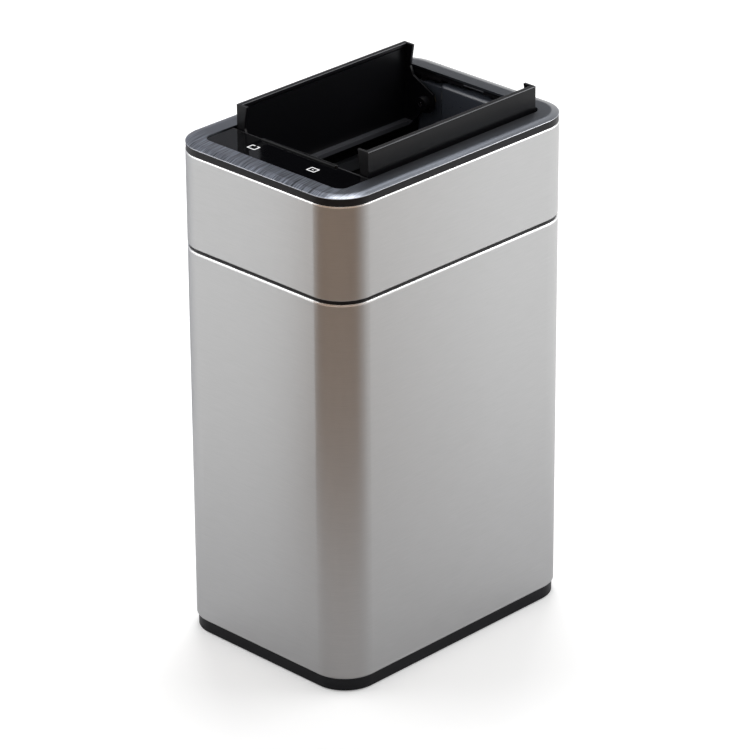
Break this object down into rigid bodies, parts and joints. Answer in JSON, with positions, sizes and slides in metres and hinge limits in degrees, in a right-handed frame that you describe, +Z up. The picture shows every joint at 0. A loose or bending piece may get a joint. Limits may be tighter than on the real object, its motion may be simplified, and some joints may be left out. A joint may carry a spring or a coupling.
{
  "type": "sensor waste bin",
  "caption": "Rectangular brushed-steel kitchen waste bin with rounded corners, a lift-off lid unit and motor-driven butterfly flaps standing open.",
  "frame": {"origin": "on the floor under the middle of the bin", "axes": "+Z up, -Y towards the narrow front with the sensor panel, +X to the right seen from the front"},
  "size_m": [0.26, 0.362, 0.6162],
  "materials": {
    "brushed_steel": "brushed, fingerprint-resistant stainless steel",
    "black_abs": "fine-grained black ABS",
    "bucket_pp": "dark grey polypropylene",
    "flap_abs": "satin charcoal ABS",
    "trim_metal": "dark brushed coated steel",
    "gloss_panel": "piano-black acrylic",
    "rubber": "matt rubber",
    "bright_steel": "zinc-plated or ground steel",
    "grey_plastic": "grey moulded plastic",
    "gear_acetal": "natural acetal",
    "bush_brass": "turned brass",
    "board_green": "solder-masked fibreglass",
    "foam": "dark conductive foam",
    "sensor_lens": "infrared-pass epoxy",
    "cell_wrap": "plain printed film"
  },
  "bodies": {
    "bin_body": {"outer_body": "brushed_steel", "base_tray": "black_abs", "rubber_feet": "rubber", "base_screws": "bright_steel", "body_rim": "black_abs"},
    "bucket": {"inner_bucket": "bucket_pp"},
    "ring": {"bag_ring": "bucket_pp"},
    "lid": {"lid_collar": "brushed_steel", "lid_frame": "black_abs", "top_bezel": "black_abs", "rear_catch": "grey_plastic", "trim_plate": "trim_metal", "lid_screws": "bright_steel", "sensor_panel": "gloss_panel", "panel_carrier": "black_abs", "control_board": "board_green", "board_standoffs": "foam", "touch_pads": "foam", "infrared_sensors": "sensor_lens", "battery_housing": "black_abs", "battery_box": "black_abs", "battery_cells": "cell_wrap", "battery_contacts": "bright_steel", "drive_case": "black_abs", "drive_plate": "black_abs", "drive_screws": "bright_steel", "motor_bracket": "bright_steel", "motor_screws": "bright_steel", "gear_motor": "bright_steel", "idler_pins": "bright_steel", "flap_bushes": "bush_brass", "switch_housing": "black_abs"},
    "left_flap": {"left_flap": "flap_abs", "left_front_pin": "bright_steel", "left_drive_shaft": "bright_steel", "left_flap_gear": "gear_acetal"},
    "right_flap": {"right_flap": "flap_abs", "right_front_pin": "bright_steel", "right_drive_shaft": "bright_steel", "right_flap_gear": "gear_acetal"},
    "left_idler": {"left_idler_gear": "gear_acetal"},
    "right_idler": {"right_idler_gear": "gear_acetal"},
    "pinion": {"motor_pinion": "gear_acetal", "pinion_shaft": "bright_steel"},
    "battery_door": {"battery_door": "black_abs"},
    "power_rocker": {"power_rocker": "black_abs"}
  },
  "joints": [
    {"name": "bucket_lift", "type": "slide", "parent": "bin_body", "child": "bucket", "axis": [0, 0, 1], "range_m": [0, 0.48]},
    {"name": "ring_lift", "type": "slide", "parent": "bucket", "child": "ring", "axis": [0, 0, 1], "range_m": [0, 0.06]},
    {"name": "lid_lift", "type": "slide", "parent": "ring", "child": "lid", "axis": [0, 0, 1], "range_m": [0, 0.15]},
    {"name": "left_flap_swing", "type": "hinge", "parent": "lid", "child": "left_flap", "pos_m": [-0.064, 0.0208, 0.5528], "axis": [0, 1, 0], "range_deg": [0, 90]},
    {"name": "right_flap_swing", "type": "hinge", "parent": "lid", "child": "right_flap", "pos_m": [0.064, 0.0208, 0.5528], "axis": [0, 1, 0], "range_deg": [-90, 0]},
    {"name": "left_idler_spin", "type": "hinge", "parent": "lid", "child": "left_idler", "pos_m": [-0.0255, 0.1643, 0.54023], "axis": [0, 1, 0], "range_deg": [-53, 0]},
    {"name": "right_idler_spin", "type": "hinge", "parent": "lid", "child": "right_idler", "pos_m": [0.0255, 0.1643, 0.54023], "axis": [0, 1, 0], "range_deg": [0, 53]},
    {"name": "pinion_spin", "type": "hinge", "parent": "lid", "child": "pinion", "pos_m": [-0.0255, 0.1643, 0.50573], "axis": [0, 1, 0], "range_deg": [0, 150.1]},
    {"name": "battery_door_slide", "type": "slide", "parent": "lid", "child": "battery_door", "axis": [0, 1, 0], "range_m": [0, 0.04]},
    {"name": "power_rocker_tilt", "type": "hinge", "parent": "lid", "child": "power_rocker", "pos_m": [-0.062, 0.1774, 0.4995], "axis": [1, 0, 0], "range_deg": [0, 12]}
  ],
  "couplings": [
    {"joint": "right_flap_swing", "follows": "left_flap_swing", "ratio": -1},
    {"joint": "left_idler_spin", "follows": "left_flap_swing", "ratio": -0.58824},
    {"joint": "right_idler_spin", "follows": "left_flap_swing", "ratio": 0.58824},
    {"joint": "pinion_spin", "follows": "left_flap_swing", "ratio": 1.6667}
  ]
}
